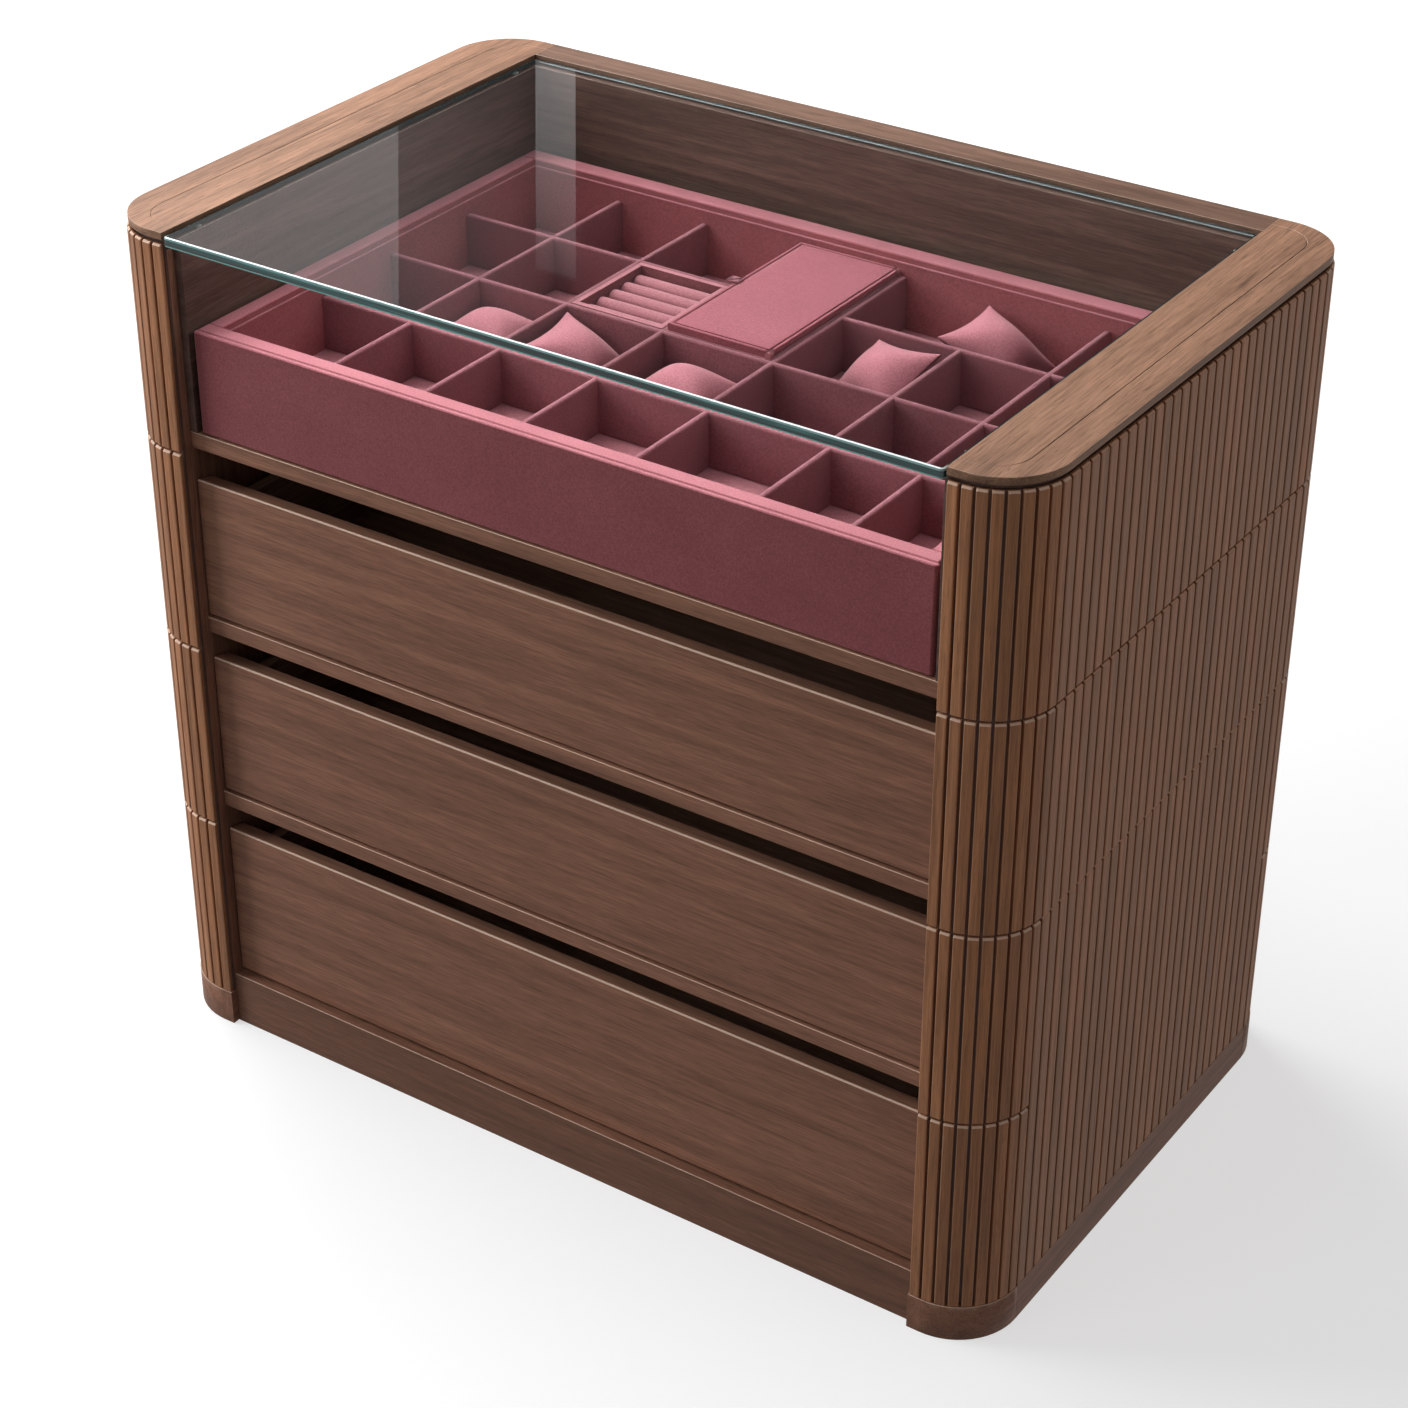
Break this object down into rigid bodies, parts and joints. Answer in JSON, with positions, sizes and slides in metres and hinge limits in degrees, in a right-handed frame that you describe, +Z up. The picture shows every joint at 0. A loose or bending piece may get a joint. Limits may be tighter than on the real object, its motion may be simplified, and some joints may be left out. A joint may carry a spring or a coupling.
{
  "type": "jewelry display cabinet",
  "caption": "Walnut jewelry display cabinet with reeded rounded columns, a glass top over a compartmented suede tray, and drawers on telescopic runners.",
  "frame": {"origin": "On the floor, under the middle of the footprint.", "axes": "+X to the right as seen from the front, +Y to the back, +Z up."},
  "size_m": [0.99, 0.612, 0.9],
  "materials": {
    "walnut": "satin oiled walnut veneer",
    "walnut_inner": "satin dark walnut veneer",
    "suede": "brushed suede cloth",
    "glass": "clear polished",
    "clear_bumper": "clear soft",
    "steel": "zinc plated",
    "glide": "matte"
  },
  "bodies": {
    "cabinet": {"back_panel": "walnut_inner", "back_panel_screws": "steel", "back_top_rail": "walnut", "base_boards": "walnut", "base_corner_blocks": "walnut", "bay_back": "walnut_inner", "bay_liners": "walnut_inner", "bottom_panel": "walnut_inner", "cap_borders": "walnut", "cap_fields": "walnut", "column_top_boards": "walnut_inner", "corner_posts": "walnut_inner", "corner_slats_left": "walnut", "corner_slats_right": "walnut", "dust_panels": "walnut_inner", "front_plinth": "walnut", "front_rails": "walnut", "gable_lippings": "walnut", "gables": "walnut_inner", "glass_bumpers": "clear_bumper", "glass_top": "glass", "rear_beam": "walnut_inner", "rear_plinth": "walnut_inner", "runner_fixed_members": "steel", "side_panels": "walnut_inner", "side_slats_left": "walnut", "side_slats_right": "walnut", "tray_glides": "glide"},
    "drawer_1": {"drawer_1_front": "walnut", "drawer_1_box": "walnut_inner", "drawer_1_bottom": "walnut_inner", "drawer_1_runner_inners": "steel"},
    "drawer_1_runner": {"drawer_1_runner_middles": "steel"},
    "drawer_2": {"drawer_2_front": "walnut", "drawer_2_box": "walnut_inner", "drawer_2_bottom": "walnut_inner", "drawer_2_runner_inners": "steel"},
    "drawer_2_runner": {"drawer_2_runner_middles": "steel"},
    "drawer_3": {"drawer_3_front": "walnut", "drawer_3_box": "walnut_inner", "drawer_3_bottom": "walnut_inner", "drawer_3_runner_inners": "steel"},
    "drawer_3_runner": {"drawer_3_runner_middles": "steel"},
    "tray": {"lid_hinge": "steel", "lidded_box_walls": "suede", "pillow_1": "suede", "pillow_2": "suede", "pillow_3": "suede", "pillow_4": "suede", "pillow_5": "suede", "ring_insert_frame": "suede", "ring_rolls": "suede", "tray_base": "suede", "tray_cross_dividers": "suede", "tray_floor_pad": "suede", "tray_long_dividers": "suede", "tray_rim": "suede", "tray_walls": "suede"},
    "lid": {"box_lid": "suede", "lid_pull_tab": "suede"}
  },
  "joints": [
    {"name": "drawer_1_slide", "type": "slide", "parent": "cabinet", "child": "drawer_1", "axis": [0, -1, 0], "range_m": [0, 0.42]},
    {"name": "drawer_1_runner_slide", "type": "slide", "parent": "cabinet", "child": "drawer_1_runner", "axis": [0, -1, 0], "range_m": [0, 0.21]},
    {"name": "drawer_2_slide", "type": "slide", "parent": "cabinet", "child": "drawer_2", "axis": [0, -1, 0], "range_m": [0, 0.42]},
    {"name": "drawer_2_runner_slide", "type": "slide", "parent": "cabinet", "child": "drawer_2_runner", "axis": [0, -1, 0], "range_m": [0, 0.21]},
    {"name": "drawer_3_slide", "type": "slide", "parent": "cabinet", "child": "drawer_3", "axis": [0, -1, 0], "range_m": [0, 0.42]},
    {"name": "drawer_3_runner_slide", "type": "slide", "parent": "cabinet", "child": "drawer_3_runner", "axis": [0, -1, 0], "range_m": [0, 0.21]},
    {"name": "tray_slide", "type": "slide", "parent": "cabinet", "child": "tray", "axis": [0, -1, 0], "range_m": [0, 0.35]},
    {"name": "lid_hinge", "type": "hinge", "parent": "tray", "child": "lid", "pos_m": [0.05947, 0.10275, 0.783], "axis": [0, 1, 0], "range_deg": [0, 50]}
  ],
  "couplings": [
    {"joint": "drawer_1_runner_slide", "follows": "drawer_1_slide", "ratio": 0.5},
    {"joint": "drawer_2_runner_slide", "follows": "drawer_2_slide", "ratio": 0.5},
    {"joint": "drawer_3_runner_slide", "follows": "drawer_3_slide", "ratio": 0.5}
  ]
}
